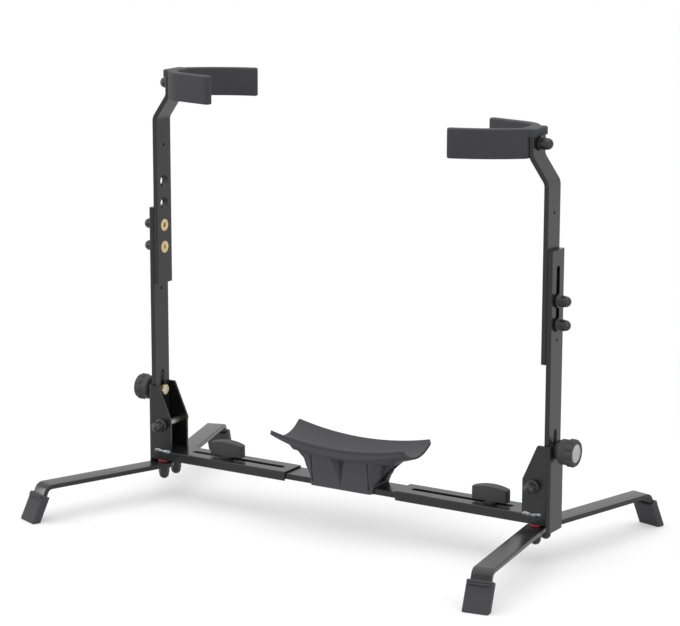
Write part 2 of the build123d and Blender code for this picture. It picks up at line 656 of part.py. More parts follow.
def height_knob_stud():
    end = -SHEET - 2 * SLIDE_GAP - BAR_THICKNESS - HEX_NUT_HEIGHT
    return pin_x(BOLT_RADIUS, end, KNOB_BORE, z=HEIGHT_KNOB_Z)


def height_nut():
    """Plated hexagon nut on the inner side of the lower bar."""
    seat = -SHEET - 2 * SLIDE_GAP - BAR_THICKNESS
    flat = HEX_NUT_RADIUS * cos(radians(30))
    outside = HEX_NUT_RADIUS + SLIDE_GAP
    nut = Rot(0, 0, 30) * extrude(RegularPolygon(HEX_NUT_RADIUS, 6), HEX_NUT_HEIGHT)
    nut &= turned([
        (0, 0),
        (flat, 0),
        (outside, HEX_NUT_BEVEL),
        (outside, HEX_NUT_HEIGHT - HEX_NUT_BEVEL),
        (flat, HEX_NUT_HEIGHT),
        (0, HEX_NUT_HEIGHT),
    ])
    nut -= pin_z(BOLT_RADIUS + FIT, -1, HEX_NUT_HEIGHT + 1)
    return Pos(seat, 0, HEIGHT_KNOB_Z) * Rot(0, -90, 0) * nut


# Saddle
def pedestal_section(height, length, width, bevel, groove, depth):
    """Bevelled rectangle with a notch in the middle of each long side."""
    corners = []
    for sx, sy in ((1, -1), (1, 1), (-1, 1), (-1, -1)):
        first = (sx * length, sy * (width - bevel))
        second = (sx * (length - bevel), sy * width)
        corners += [first, second] if sx * sy > 0 else [second, first]
    front = [(-groove, -width), (0, -width + depth), (groove, -width)]
    back = [(groove, width), (0, width - depth), (-groove, width)]
    points = corners[0:4] + back + corners[4:8] + front
    return Pos(0, 0, height) * make_face(Polyline(*points, close=True))


def ring(tube, outer):
    """Solid ring standing in the XZ plane whose lowest line lies at Z = 0."""
    return Pos(0, 0, outer) * Rot(90, 0, 0) * Torus(outer - tube, tube)


def trough(depth):
    """Solid that fills the cradle down to a depth below its surface."""
    return Pos(0, 0, SADDLE_FLOOR - depth) * ring(TUBE_RADIUS + depth, TROUGH_RADIUS + depth)


def saddle_blank(inset):
    half = SADDLE_LENGTH / 2 - inset
    side = SADDLE_WIDTH / 2 - inset
    blank = block((-half, half), (-side, side), (PEDESTAL_BOTTOM, SADDLE_CEILING))
    return fillet(blank.edges().filter_by(Axis.Z), SADDLE_CORNER)


def saddle_base():
    """Curved cradle on a fluted pedestal that straddles the rail."""
    half = SADDLE_LENGTH / 2
    shell = saddle_blank(0) & Pos(0, 0, SADDLE_FLOOR - SHELL) * ring(TUBE_RADIUS + SHELL, KEEL_RADIUS)
    body = shell + loft([pedestal_section(*row) for row in PEDESTAL_SECTIONS])
    foot_section = pedestal_section(PEDESTAL_BOTTOM, *PEDESTAL_SECTIONS[0][1:])
    body += extrude(foot_section, PEDESTAL_SECTIONS[0][0] - PEDESTAL_BOTTOM)
    body -= trough(PAD)
    slot_half = RAIL_WIDTH / 2 + SLIDE_GAP
    body -= block((-half, half), (-slot_half, slot_half), (PEDESTAL_BOTTOM - 1, RAIL_TOP + SLIDE_GAP))
    for sign in (-1, 1):
        top = RAIL_TOP + SADDLE_SCREW_DEPTH
        body -= pin_z(SADDLE_SCREW_RADIUS + FIT, RAIL_TOP - 1, top, sign * SADDLE_SCREW_SPREAD)
    return body


def saddle_pad():
    """Rubber lining of the cradle."""
    return (saddle_blank(PAD_INSET) & trough(PAD)) - trough(0)


def saddle_screws():
    screws = []
    for sign in (-1, 1):
        x = sign * SADDLE_SCREW_SPREAD
        shank = pin_z(SADDLE_SCREW_RADIUS, RAIL_BOTTOM - 1, RAIL_TOP + SADDLE_SCREW_DEPTH - 1, x)
        head = pin_z(SADDLE_SCREW_HEAD, RAIL_BOTTOM - SADDLE_SCREW_HEAD_HEIGHT, RAIL_BOTTOM, x)
        head = fillet(head.edges().sort_by(Axis.Z)[0], SADDLE_SCREW_EDGE)
        screws.append(shank + head)
    return group(screws)


def build_nodes():
    nodes = {"centre_rail": centre_rail(), "saddle_base": saddle_base()}
    nodes["saddle_pad"] = saddle_pad()
    nodes["saddle_screws"] = saddle_screws()
    end_pieces = {
        "channel": channel(),
        "bracket": bracket(),
        "spacer_tube": spacer_tube(),
        "cross_bolt": cross_bolt(),
        "cross_nuts": cross_nuts(),
        "pivot_plate": pivot_plate(),
        "pivot_studs": pivot_studs(),
        "leg_washers": leg_washers(),
        "leg_nuts": leg_nuts(),
        "height_knob": height_knob(),
        "height_knob_stud": height_knob_stud(),
        "height_nut": height_nut(),
    }
    arm_pieces = {
        "lower_bar": lower_bar,
        "upper_bar": upper_bar,
        "arm_screws": arm_screws,
        "arm_nuts": arm_nuts,
        "holder": holder,
        "holder_bolt": holder_bolt,
    }
    for side in SIDES:
        for name, piece in end_pieces.items():
            nodes[side + "_" + name] = on_side(Pos(REACH[side], 0, 0) * piece, side)
        for name, make in arm_pieces.items():
            nodes[side + "_" + name] = on_side(make(side), side)
        nodes[side + "_wing_knob"] = Pos(wing_knob_x(side), 0, 0) * wing_knob()
        nodes[side + "_wing_knob_stud"] = Pos(wing_knob_x(side), 0, 0) * wing_knob_stud()
        for end in ("front", "back"):
            nodes[side + "_" + end + "_leg"] = swing(leg(), side, end)
            nodes[side + "_" + end + "_foot"] = swing(foot(), side, end)
    return nodes


def main():
    nodes = build_nodes()
    boxes = [shape.bounding_box() for shape in nodes.values()]
    middle_x = (min(b.min.X for b in boxes) + max(b.max.X for b in boxes)) / 2
    middle_y = (min(b.min.Y for b in boxes) + max(b.max.Y for b in boxes)) / 2
    print("saddle's middle from the origin:", round(-middle_x, 3), round(-middle_y, 3))
    os.makedirs("parts", exist_ok=True)
    for name, shape in nodes.items():
        export_step(Pos(-middle_x, -middle_y, 0) * shape, "parts/" + name + ".step")


main()
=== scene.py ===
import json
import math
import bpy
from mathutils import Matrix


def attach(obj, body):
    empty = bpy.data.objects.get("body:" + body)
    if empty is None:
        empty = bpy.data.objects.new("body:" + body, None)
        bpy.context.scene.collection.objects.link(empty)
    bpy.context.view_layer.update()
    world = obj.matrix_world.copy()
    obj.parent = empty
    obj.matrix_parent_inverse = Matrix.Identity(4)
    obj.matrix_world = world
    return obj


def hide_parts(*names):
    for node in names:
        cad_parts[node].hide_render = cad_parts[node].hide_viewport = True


bl_info = {
    "name": "Tuba Stand Looks",
    "version": (1, 0, 0),
    "blender": (4, 5, 0),
    "location": "View3D > Sidebar > Stand",
    "description": "Finishes a folding instrument stand: powder-coated steel, rubber, knobs and fasteners",
    "category": "Object",
}

import bmesh
import bpy
from mathutils import Matrix, Vector

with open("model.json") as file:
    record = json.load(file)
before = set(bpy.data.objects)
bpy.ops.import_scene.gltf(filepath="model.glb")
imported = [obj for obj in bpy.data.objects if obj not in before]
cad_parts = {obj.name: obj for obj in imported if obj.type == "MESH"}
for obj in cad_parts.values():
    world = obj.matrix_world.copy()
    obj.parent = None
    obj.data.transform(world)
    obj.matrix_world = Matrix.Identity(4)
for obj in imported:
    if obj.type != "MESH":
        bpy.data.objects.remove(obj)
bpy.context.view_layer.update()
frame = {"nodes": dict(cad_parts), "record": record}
RECORD = frame["record"]
BODIES = RECORD["behaviour"]["bodies"]
SLOTS = {part["node"]: part["material_slot"] for part in RECORD["subparts"]}
ENDS = ("left", "right")
LEGS = tuple(side + "_" + end for side in ENDS for end in ("front", "back"))
MM = 0.001
WELD_DISTANCE = 1e-6  # vertices closer than this are one
AXIS_RADIUS = 1e-7  # rings smaller than this are a point
WHITE = (1, 1, 1, 1)


# Places of the frame's pieces
def body_of(node):
    """Name of the moving body that a CAD node belongs to."""
    for body, nodes in BODIES.items():
        if node in nodes:
            return body
    raise KeyError(node)


def node_mesh(node):
    """Mesh of a CAD node."""
    return frame["nodes"][node].data


def node_box(node):
    """Lowest and highest corner of a CAD node."""
    points = [vertex.co for vertex in node_mesh(node).vertices]
    low = Vector(min(point[i] for point in points) for i in range(3))
    high = Vector(max(point[i] for point in points) for i in range(3))
    return low, high


def node_middle(node):
    """Middle of a CAD node's box."""
    low, high = node_box(node)
    return (low + high) / 2


def solid_boxes(node):
    """Boxes of the separate solids in a CAD node, in order of position."""
    work = bmesh.new()
    work.from_mesh(node_mesh(node))
    bmesh.ops.remove_doubles(work, verts=work.verts, dist=WELD_DISTANCE)
    left = set(work.verts)
    boxes = []
    while left:
        seed = left.pop()
        pile, island = [seed], [seed]
        while pile:
            vertex = pile.pop()
            for edge in vertex.link_edges:
                other = edge.other_vert(vertex)
                if other in left:
                    left.remove(other)
                    pile.append(other)
                    island.append(other)
        low = Vector(min(v.co[i] for v in island) for i in range(3))
        high = Vector(max(v.co[i] for v in island) for i in range(3))
        boxes.append((low, high))
    work.free()
    return sorted(boxes, key=lambda box: tuple(round(c, 5) for c in (box[0] + box[1]) / 2))


# Shader sums written as plain expressions
class Value:
    """A socket of a node tree that can be added, subtracted and multiplied."""

    def __init__(self, finish, socket):
        self.finish = finish
        self.socket = socket

    def math(self, operation, first, second):
        settings = {"operation": operation}
        return self.finish.add("ShaderNodeMath", settings, {0: first, 1: second})

    def __add__(self, other):
        return self.math("ADD", self, other)

    def __radd__(self, other):
        return self.math("ADD", other, self)

    def __sub__(self, other):
        return self.math("SUBTRACT", self, other)

    def __rsub__(self, other):
        return self.math("SUBTRACT", other, self)

    def __mul__(self, other):
        return self.math("MULTIPLY", self, other)

    def __rmul__(self, other):
        return self.math("MULTIPLY", other, self)


class Finish:
    """A material, or the world, under construction."""

    def __init__(self, name, owner=None):
        self.owner = owner or bpy.data.materials.new(name)
        self.owner.use_nodes = True
        self.tree = self.owner.node_tree
        self.tree.nodes.clear()

    def add(self, kind, settings=None, sockets=None, output=0):
        """New node with its settings, then the values or links of its sockets."""
        node = self.tree.nodes.new(kind)
        for name, value in (settings or {}).items():
            if name == "stops":
                ramp = node.color_ramp.elements
                for element, (position, colour) in zip((ramp[0], ramp[1]), (value[0], value[-1])):
                    element.position = position
                    element.color = colour
                for position, colour in value[1:-1]:
                    ramp.new(position).color = colour
            else:
                setattr(node, name, value)
        for name, value in (sockets or {}).items():
            if isinstance(value, Value):
                self.tree.links.new(value.socket, node.inputs[name])
            else:
                node.inputs[name].default_value = value
        return Value(self, node.outputs[output])

    def place(self):
        """Position on the object, in metres."""
        return self.add("ShaderNodeTexCoord", output="Object")

    def noise(self, where, scale, detail=2.0, roughness=0.5):
        """Clouds or grain from 0 to 1."""
        sockets = {"Vector": where, "Scale": scale, "Detail": detail, "Roughness": roughness}
        return self.add("ShaderNodeTexNoise", None, sockets)

    def cells(self, where, scale, feature="F1"):
        """Distances in a pattern of scattered cells."""
        return self.add("ShaderNodeTexVoronoi", {"feature": feature}, {"Vector": where, "Scale": scale})

    def stretched(self, where, amounts):
        """Position multiplied along each axis."""
        return self.add("ShaderNodeVectorMath", {"operation": "MULTIPLY"}, {0: where, 1: amounts})

    def span(self, value, low, high, new_low=0.0, new_high=1.0):
        """Value moved from one range to another and kept inside it."""
        sockets = {"Value": value, "From Min": low, "From Max": high}
        sockets |= {"To Min": new_low, "To Max": new_high}
        return self.add("ShaderNodeMapRange", {"clamp": True}, sockets)

    def blend(self, amount, first, second):
        """Mix of two colours."""
        sockets = {0: amount, 6: first, 7: second}
        return self.add("ShaderNodeMix", {"data_type": "RGBA"}, sockets, output=2)

    def bump(self, height, strength, distance):
        """Normal of a relief with a depth in metres."""
        sockets = {"Height": height, "Strength": strength, "Distance": distance}
        return self.add("ShaderNodeBump", None, sockets)

    def backdrop_rays(self):
        """1 for rays that show the white background: straight, mirrored or through glass."""
        paths = self.tree.nodes.new("ShaderNodeLightPath").outputs
        names = ("Is Camera Ray", "Is Glossy Ray", "Is Transmission Ray")
        straight, mirrored, through = (Value(self, paths[name]) for name in names)
        return self.add("ShaderNodeMath", {"operation": "MAXIMUM"}, {0: straight + mirrored, 1: through})

    def surface(self, **sockets):
        """Finished material from the named inputs of one principled surface."""
        names = {name.replace("_", " "): value for name, value in sockets.items()}
        shader = self.add("ShaderNodeBsdfPrincipled", None, names)
        return self.show(shader)

    def show(self, shader):
        """Make a shader the surface of the material or the world."""
        kind = "World" if isinstance(self.owner, bpy.types.World) else "Material"
        output = self.tree.nodes.new("ShaderNodeOutput" + kind)
        self.tree.links.new(shader.socket, output.inputs["Surface"])
        return self.owner


def shade(colour, factor):
    """Colour made darker or lighter, with full opacity."""
    return tuple(channel * factor for channel in colour[:3]) + (1.0,)


def made_once(maker):
    """Make the material of a finish once and reuse it."""

    def fetch():
        name = maker.__name__
        return bpy.data.materials.get(name) or maker(name)

    return fetch


@made_once
def powder_coat(name):
    """Semi-gloss black powder coat with a fine orange peel, dust and a few rubbed patches."""
    props = bpy.context.scene.stand_finish
    finish = Finish(name)
    where = finish.place()
    peel = finish.noise(where, 420.0, 2.0, 0.5)
    cloud = finish.noise(where, 14.0, 4.0, 0.6)
    rubbed = finish.span(finish.noise(finish.stretched(where, (1.0, 1.0, 5.0)), 60.0, 6.0, 0.7), 0.6, 0.8)
    streaks = finish.cells(finish.stretched(where, (9.0, 60.0, 9.0)), 9.0, "DISTANCE_TO_EDGE")
    marks = finish.span(streaks, 0.0, 0.01, 1.0, 0.0) * finish.span(cloud, 0.52, 0.62)
    base = props.coat_colour
    colour = finish.blend(finish.span(cloud, 0.35, 0.7), shade(base, 0.9), shade(base, 1.12))
    colour = finish.blend(rubbed * 0.12 + marks * 0.1, colour, shade(base, 2.0))
    rough = props.coat_roughness + (cloud - 0.5) * 0.05 + rubbed * 0.03 + marks * 0.04
    return finish.surface(
        Base_Color=colour,
        Roughness=rough,
        Specular_IOR_Level=props.coat_gloss,
        Normal=finish.bump(peel, 0.03, 0.00004),
    )


@made_once
def black_oxide(name):
    """Slightly glossy black of the cap nuts and their washers."""
    finish = Finish(name)
    where = finish.place()
    grain = finish.noise(where, 900.0, 3.0)
    cloud = finish.noise(where, 120.0, 3.0)
    colour = finish.blend(cloud, (0.018, 0.018, 0.019, 1.0), (0.04, 0.04, 0.041, 1.0))
    rough = 0.24 + cloud * 0.18
    relief = finish.bump(grain, 0.2, 0.00008)
    return finish.surface(Base_Color=colour, Roughness=rough, Metallic=0.35, Normal=relief)


def plated(name, colour, dark, roughness):
    """Plated metal, brushed along its height and slightly clouded."""
    finish = Finish(name)
    where = finish.place()
    brushed = finish.noise(finish.stretched(where, (1.0, 1.0, 14.0)), 260.0, 3.0)
    cloud = finish.noise(where, 90.0, 4.0, 0.65)
    tint = finish.blend(finish.span(cloud, 0.35, 0.72), colour, dark)
    rough = roughness + cloud * 0.16 + brushed * 0.08
    relief = finish.bump(brushed, 0.2, 0.00008)
    return finish.surface(Base_Color=tint, Roughness=rough, Metallic=1.0, Normal=relief)


@made_once
def zinc_plate(name):
    return plated(name, (0.62, 0.61, 0.59, 1.0), (0.36, 0.35, 0.34, 1.0), 0.22)


@made_once
def yellow_plate(name):
    brass = shade(bpy.context.scene.stand_finish.brass_colour, 1.0)
    return plated(name, brass, shade(brass, 0.57), 0.2)


@made_once
def satin_disc(name):
    return plated(name, (0.5, 0.5, 0.49, 1.0), (0.36, 0.36, 0.35, 1.0), 0.3)


@made_once
def weld_metal(name):
    """Bare weld beads, rippled and heat stained."""
    finish = Finish(name)
    where = finish.place()
    ripples = finish.noise(finish.stretched(where, (5.0, 1.0, 1.0)), 260.0, 2.0)
    stain = finish.noise(where, 160.0, 4.0)
    colour = finish.blend(finish.span(stain, 0.4, 0.65), (0.38, 0.4, 0.43, 1.0), (0.07, 0.08, 0.1, 1.0))
    rough = 0.16 + stain * 0.3
    relief = finish.bump(ripples, 0.5, 0.0003)
    return finish.surface(Base_Color=colour, Roughness=rough, Metallic=0.85, Normal=relief)


def moulded(name, colour, roughness, grain_scale, grain_depth):
    """Moulded rubber or plastic with an eroded grain, scuffs and settled dust."""
    finish = Finish(name)
    where = finish.place()
    grain = finish.noise(where, grain_scale, 3.0, 0.6)
    pores = finish.cells(where, grain_scale * 0.6)
    cloud = finish.noise(where, 30.0, 5.0, 0.65)
    scuff = finish.span(finish.noise(finish.stretched(where, (1.0, 4.0, 1.0)), 90.0, 6.0, 0.75), 0.58, 0.75)
    normal = finish.add("ShaderNodeNewGeometry", output="Normal")
    upward = finish.add("ShaderNodeSeparateXYZ", None, {0: normal}, output=2)
    dust = finish.span(upward, 0.35, 1.0) * finish.span(cloud, 0.42, 0.7)
    tint = finish.blend(finish.span(cloud, 0.3, 0.7), shade(colour, 0.85), shade(colour, 1.15))
    tint = finish.blend(scuff * 0.25 + dust * 0.15, tint, shade(colour, 2.2))
    rough = roughness + (grain - 0.5) * 0.12 + scuff * 0.06
    relief = finish.bump(grain * 0.6 + pores * 0.4, 0.3, grain_depth)
    return finish.surface(Base_Color=tint, Roughness=rough, Specular_IOR_Level=0.3, Normal=relief)


@made_once
def foot_rubber(name):
    return moulded(name, bpy.context.scene.stand_finish.rubber_colour, 0.62, 620.0, 0.00016)


@made_once
def saddle_plastic(name):
    return moulded(name, bpy.context.scene.stand_finish.saddle_colour, 0.5, 900.0, 0.00012)


@made_once
def pad_rubber(name):
    return moulded(name, shade(bpy.context.scene.stand_finish.saddle_colour, 1.05), 0.58, 700.0, 0.00014)


@made_once
def holder_rubber(name):
    return moulded(name, bpy.context.scene.stand_finish.holder_colour, 0.5, 800.0, 0.00014)


@made_once
def knob_plastic(name):
    return moulded(name, bpy.context.scene.stand_finish.knob_colour, 0.42, 1000.0, 0.0001)


@made_once
def red_nylon(name):
    finish = Finish(name)
    where = finish.place()
    cloud = finish.noise(where, 160.0, 4.0)
    base = bpy.context.scene.stand_finish.washer_colour
    colour = finish.blend(cloud, shade(base, 0.75), shade(base, 1.15))
    rough = 0.3 + cloud * 0.2
    return finish.surface(Base_Color=colour, Roughness=rough, Normal=finish.bump(cloud, 0.2, 0.0001))


SLOT_FINISH = {
    "black_steel": powder_coat,
    "black_fasteners": black_oxide,
    "plated_steel": zinc_plate,
    "brass_screws": yellow_plate,
    "red_washers": red_nylon,
    "knob_plastic": knob_plastic,
    "foot_rubber": foot_rubber,
    "saddle_plastic": saddle_plastic,
    "pad_rubber": pad_rubber,
    "holder_rubber": holder_rubber,
}


# Mesh helpers
BEVEL_ANGLE = math.radians(35.0)  # edges sharper than this are rounded
CRISP_ANGLE = math.radians(32.0)  # edges sharper than this stay crisp in the shading
NORMAL_WEIGHT = 60


def new_piece(name, work, material):
    """Turn a bmesh into a smooth-shaded object."""
    bmesh.ops.recalc_face_normals(work, faces=work.faces)
    mesh = bpy.data.meshes.new(name)
    work.to_mesh(mesh)
    work.free()
    for polygon in mesh.polygons:
        polygon.use_smooth = True
    if material:
        mesh.materials.append(material)
    piece = bpy.data.objects.new(name, mesh)
    bpy.context.scene.collection.objects.link(piece)
    return piece


def soften(piece, width, segments):
    """Round the sharp edges and keep the flats flat."""
    bevel = piece.modifiers.new("edges", "BEVEL")
    bevel.width = width
    bevel.segments = segments
    bevel.limit_method = "ANGLE"
    bevel.angle_limit = BEVEL_ANGLE
    bevel.use_clamp_overlap = True
    bevel.harden_normals = True
    weighted = piece.modifiers.new("normals", "WEIGHTED_NORMAL")
    weighted.keep_sharp = True
    weighted.weight = NORMAL_WEIGHT


def seat(piece, node, replaces=True):
    """Fix a piece to the body of its CAD node."""
    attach(piece, body_of(node))
    if replaces:
        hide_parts(node)


LEAST_LEFT, MOST_LEFT = 0.7, 0.999  # share of the volume that a cut leaves


def carved(node, work):
    """Copy of a CAD node's mesh with the closed shapes in work cut out of it."""
    whole = bmesh.new()
    whole.from_mesh(node_mesh(node))
    bmesh.ops.remove_doubles(whole, verts=whole.verts, dist=WELD_DISTANCE)
    before = whole.calc_volume()
    blank = new_piece("blank", whole, None)
    cutter = new_piece("cutter", work, None)
    carve = blank.modifiers.new("carve", "BOOLEAN")
    carve.operation = "DIFFERENCE"
    carve.solver = "EXACT"
    carve.use_self = True
    carve.object = cutter
    seen = blank.evaluated_get(bpy.context.evaluated_depsgraph_get())
    result = bpy.data.meshes.new_from_object(seen)
    check = bmesh.new()
    check.from_mesh(result)
    share = check.calc_volume() / before
    check.free()
    if not LEAST_LEFT < share < MOST_LEFT:
        raise RuntimeError("the hollows in " + node + " leave a share of " + str(share))
    for helper in (blank, cutter):
        bpy.data.objects.remove(helper)
    return result


def hull(work, points):
    """Add the convex shape around some points."""
    corners = [work.verts.new(point) for point in points]
    bmesh.ops.convex_hull(work, input=corners)


FLAT_ANGLE = math.radians(0.6)  # faces that meet flatter than this are one


def refined(node, width, segments=2, mesh=None):
    """Copy of a CAD node, or of a mesh made from it, with merged flats and rounded edges."""
    work = bmesh.new()
    work.from_mesh(mesh or node_mesh(node))
    bmesh.ops.remove_doubles(work, verts=work.verts, dist=WELD_DISTANCE)
    bmesh.ops.dissolve_limit(work, angle_limit=FLAT_ANGLE, verts=work.verts, edges=work.edges)
    piece = new_piece(node + "_dressed", work, SLOT_FINISH[SLOTS[node]]())
    piece.data.set_sharp_from_angle(angle=CRISP_ANGLE)
    if width:
        soften(piece, width, segments)
    seat(piece, node)


def lathe(work, profile, segments, place, lobes=None):
    """Rings of vertices along a profile of (radius, height); lobes changes the radius by angle."""
    rings = []
    for radius, height in profile:
        if radius < AXIS_RADIUS:
            rings.append([work.verts.new(place @ Vector((0, 0, height)))])
            continue
        ring = []
        for i in range(segments):
            angle = 2 * math.pi * i / segments
            reach = lobes(radius, height, angle) if lobes else radius
            point = Vector((reach * math.cos(angle), reach * math.sin(angle), height))
            ring.append(work.verts.new(place @ point))
        rings.append(ring)
    for low, high in zip(rings, rings[1:]):
        for i in range(segments):
            j = (i + 1) % segments
            corners = [low[i % len(low)], low[j % len(low)], high[j % len(high)], high[i % len(high)]]
            unique = list(dict.fromkeys(corners))
            if len(unique) > 2:
                work.faces.new(unique)
    for ring in (rings[0], rings[-1]):
        if len(ring) > 2:
            work.faces.new(ring)


def facing(origin, direction):
    """Place with its Z along a direction."""
    return Matrix.Translation(origin) @ Vector(direction).to_track_quat("Z", "Y").to_matrix().to_4x4()


def arc(centre_radius, centre_height, radius, start, end, steps):
    """Points of a rounded corner in a profile."""
    points = []
    for i in range(steps + 1):
        angle = math.radians(start + (end - start) * i / steps)
        points.append((centre_radius + radius * math.cos(angle), centre_height + radius * math.sin(angle)))
    return points


# Fasteners
def hexed(across, low, high):
    """Radius rule that makes a hexagon between two heights."""

    def rule(radius, height, angle):
        if not low <= height <= high:
            return radius
        sector = (angle + math.pi / 6) % (math.pi / 3) - math.pi / 6
        return min(radius, across / 2 / math.cos(sector))

    return rule


# Cap nut, up from its seat
NUT_HEIGHT = 17.2 * MM
NUT_FLANGE = 2.4 * MM
NUT_FLANGE_RADIUS = 8.7 * MM
NUT_BODY = 9.2 * MM
NUT_BODY_RADIUS = 7.3 * MM
NUT_ACROSS = 13.0 * MM
NUT_NECK_RADIUS = 6.4 * MM
NUT_DOME_RADIUS = 6.6 * MM
NUT_EDGE = 0.3 * MM
NUT_SIDES = 48
DOME_END, DOME_STEPS = 84, 10


def cap_nut(work, place):
    """Flange, chamfered hexagon and domed end."""
    dome_base = NUT_HEIGHT - NUT_DOME_RADIUS
    rim = NUT_FLANGE_RADIUS - NUT_EDGE
    profile = [(0.0, 0.0), (rim, 0.0), (NUT_FLANGE_RADIUS, NUT_EDGE)]
    profile += [(NUT_FLANGE_RADIUS, NUT_FLANGE - 0.5 * MM), (rim, NUT_FLANGE)]
    profile += [(NUT_BODY_RADIUS, NUT_FLANGE), (NUT_BODY_RADIUS, NUT_FLANGE + NUT_EDGE)]
    profile += [(NUT_BODY_RADIUS, NUT_BODY - 1.0 * MM), (NUT_BODY_RADIUS - 0.4 * MM, NUT_BODY - 0.2 * MM)]
    profile += [(NUT_NECK_RADIUS, NUT_BODY), (NUT_NECK_RADIUS, NUT_BODY + NUT_EDGE)]
    profile += [(NUT_DOME_RADIUS, NUT_BODY + 2 * NUT_EDGE)]
    profile += arc(0.0, dome_base, NUT_DOME_RADIUS, 0, DOME_END, DOME_STEPS)
    profile += [(0.0, dome_base + NUT_DOME_RADIUS)]
    flats = hexed(NUT_ACROSS, NUT_FLANGE + 0.01 * MM, NUT_BODY - 0.5 * MM)
    lathe(work, profile, NUT_SIDES, place, flats)


class STAND_PG_finish(bpy.types.PropertyGroup):
    coat_colour: bpy.props.FloatVectorProperty(
        name="Powder coat",
        description="Colour of the coated steel",
        subtype="COLOR",
        size=3,
        default=(0.011, 0.0112, 0.0114),
        min=0,
        max=1,
    )
    coat_roughness: bpy.props.FloatProperty(
        name="Coat roughness",
        description="How dull the powder coat is",
        default=0.26,
        min=0.05,
        max=1,
        subtype="FACTOR",
    )
    coat_gloss: bpy.props.FloatProperty(
        name="Coat gloss",
        description="How strongly the powder coat mirrors",
        default=0.42,
        min=0,
        max=1,
        subtype="FACTOR",
    )
    rubber_colour: bpy.props.FloatVectorProperty(
        name="Feet",
        description="Colour of the rubber feet",
        subtype="COLOR",
        size=3,
        default=(0.02, 0.021, 0.022),
        min=0,
        max=1,
    )
    saddle_colour: bpy.props.FloatVectorProperty(
        name="Saddle",
        description="Colour of the saddle",
        subtype="COLOR",
        size=3,
        default=(0.03, 0.03, 0.031),
        min=0,
        max=1,
    )
    holder_colour: bpy.props.FloatVectorProperty(
        name="Holders",
        description="Colour of the padded holders",
        subtype="COLOR",
        size=3,
        default=(0.028, 0.028, 0.029),
        min=0,
        max=1,
    )
    knob_colour: bpy.props.FloatVectorProperty(
        name="Knobs",
        description="Colour of the knobs",
        subtype="COLOR",
        size=3,
        default=(0.016, 0.016, 0.017),
        min=0,
        max=1,
    )
    brass_colour: bpy.props.FloatVectorProperty(
        name="Screws",
        description="Colour of the plated screws",
        subtype="COLOR",
        size=3,
        default=(0.72, 0.58, 0.32),
        min=0,
        max=1,
    )
    washer_colour: bpy.props.FloatVectorProperty(
        name="Washers",
        description="Colour of the washers above the legs",
        subtype="COLOR",
        size=3,
        default=(0.3, 0.032, 0.032),
        min=0,
        max=1,
    )


class STAND_PG_sizes(bpy.types.PropertyGroup):
    sheet_edge: bpy.props.FloatProperty(
        name="Sheet edges",
        description="Rounding of the cut sheet's edges",
        default=0.35 * MM,
        min=0,
        max=0.002,
        unit="LENGTH",
    )
    bar_edge: bpy.props.FloatProperty(
        name="Bar edges",
        description="Rounding of the edges of the flat upright bars",
        default=1.2 * MM,
        min=0,
        max=0.002,
        unit="LENGTH",
    )
    weld_size: bpy.props.FloatProperty(
        name="Weld bead",
        description="How far the weld beads stand out",
        default=1.3 * MM,
        min=0.0005,
        max=0.004,
        unit="LENGTH",
    )
    disc_radius: bpy.props.FloatProperty(
        name="Knob disc",
        description="Radius of the bare disc in the end of a height knob",
        default=11.4 * MM,
        min=0.005,
        max=0.012,
        unit="LENGTH",
    )


class STAND_OT_steel(bpy.types.Operator):
    """Rail, channels, brackets, plates, bars and legs in coated steel"""

    bl_idname = "stand.steel"
    bl_label = "Coated Steel"

    def execute(self, context):
        sizes = context.scene.stand_sizes
        refined("centre_rail", sizes.sheet_edge)
        for side in ENDS:
            refined(side + "_channel", sizes.sheet_edge)
            refined(side + "_bracket", sizes.sheet_edge)
            refined(side + "_pivot_plate", sizes.sheet_edge)
            refined(side + "_lower_bar", sizes.bar_edge)
            refined(side + "_upper_bar", sizes.bar_edge)
        for leg in LEGS:
            refined(leg + "_leg", 0.0)
        return {"FINISHED"}


